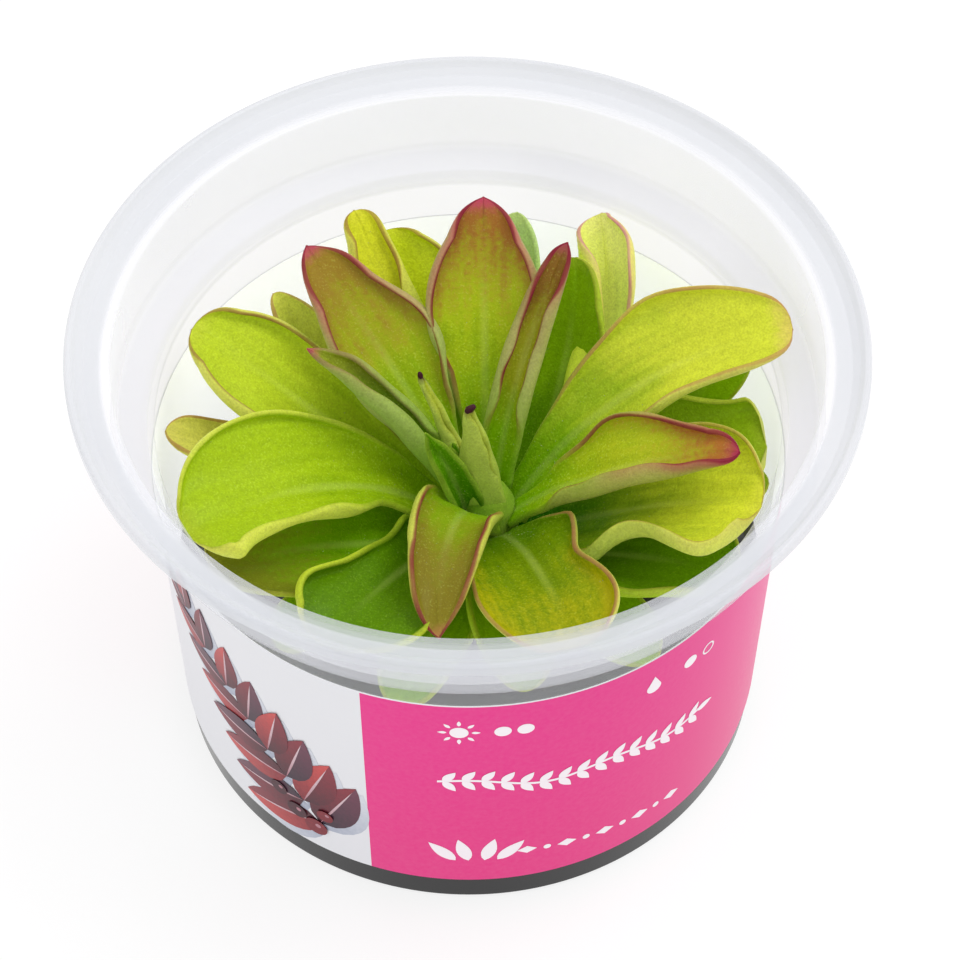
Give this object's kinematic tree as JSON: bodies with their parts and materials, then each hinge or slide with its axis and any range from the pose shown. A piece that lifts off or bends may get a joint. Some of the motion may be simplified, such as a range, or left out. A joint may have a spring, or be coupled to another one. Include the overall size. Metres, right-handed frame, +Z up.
{
  "type": "butterwort in a clear cup",
  "caption": "Carnivorous butterwort rosette with fleshy rolled leaves, growing in dark medium in a clear flanged plastic cup with a printed wrap; stands free on its base.",
  "frame": {"origin": "centre of the underside of the cup, on the surface it stands on", "axes": "+Z up along the cup's axis; the side that the printed wrap's icons face is -Y; +X is to the right of someone who looks at that side"},
  "size_m": [0.1, 0.1, 0.0683],
  "materials": {
    "clear_cup": "clear, slightly milky thin-wall plastic",
    "printed_wrap": "satin printed film, pink with a white panel",
    "growing_medium": "dark moist gel",
    "heart": "fleshy, soft sheen",
    "leaf_inner": "fleshy, finely granular, purple margins",
    "leaf_outer": "fleshy, finely granular, lime green",
    "leaf_low": "fleshy, deeper green"
  },
  "bodies": {
    "root": {"cup": "clear_cup", "label": "printed_wrap", "growing_medium": "growing_medium", "crown": "heart", "leaf_inner_1": "leaf_inner", "leaf_inner_2": "leaf_inner", "leaf_inner_3": "leaf_inner", "leaf_inner_4": "leaf_inner", "leaf_inner_5": "leaf_inner", "leaf_inner_6": "leaf_inner", "leaf_outer_1": "leaf_outer", "leaf_outer_2": "leaf_outer", "leaf_outer_3": "leaf_outer", "leaf_outer_4": "leaf_outer", "leaf_outer_5": "leaf_outer", "leaf_outer_6": "leaf_outer", "leaf_outer_7": "leaf_outer", "leaf_outer_8": "leaf_outer", "leaf_outer_9": "leaf_outer", "leaf_outer_10": "leaf_outer", "leaf_outer_11": "leaf_outer", "leaf_outer_12": "leaf_outer", "leaf_outer_13": "leaf_outer", "leaf_low_1": "leaf_low", "leaf_low_2": "leaf_low", "leaf_low_3": "leaf_low", "leaf_low_4": "leaf_low", "leaf_low_5": "leaf_low", "leaf_low_6": "leaf_low", "leaf_low_7": "leaf_low", "leaf_low_8": "leaf_low", "leaf_low_9": "leaf_low"}
  },
  "joints": []
}
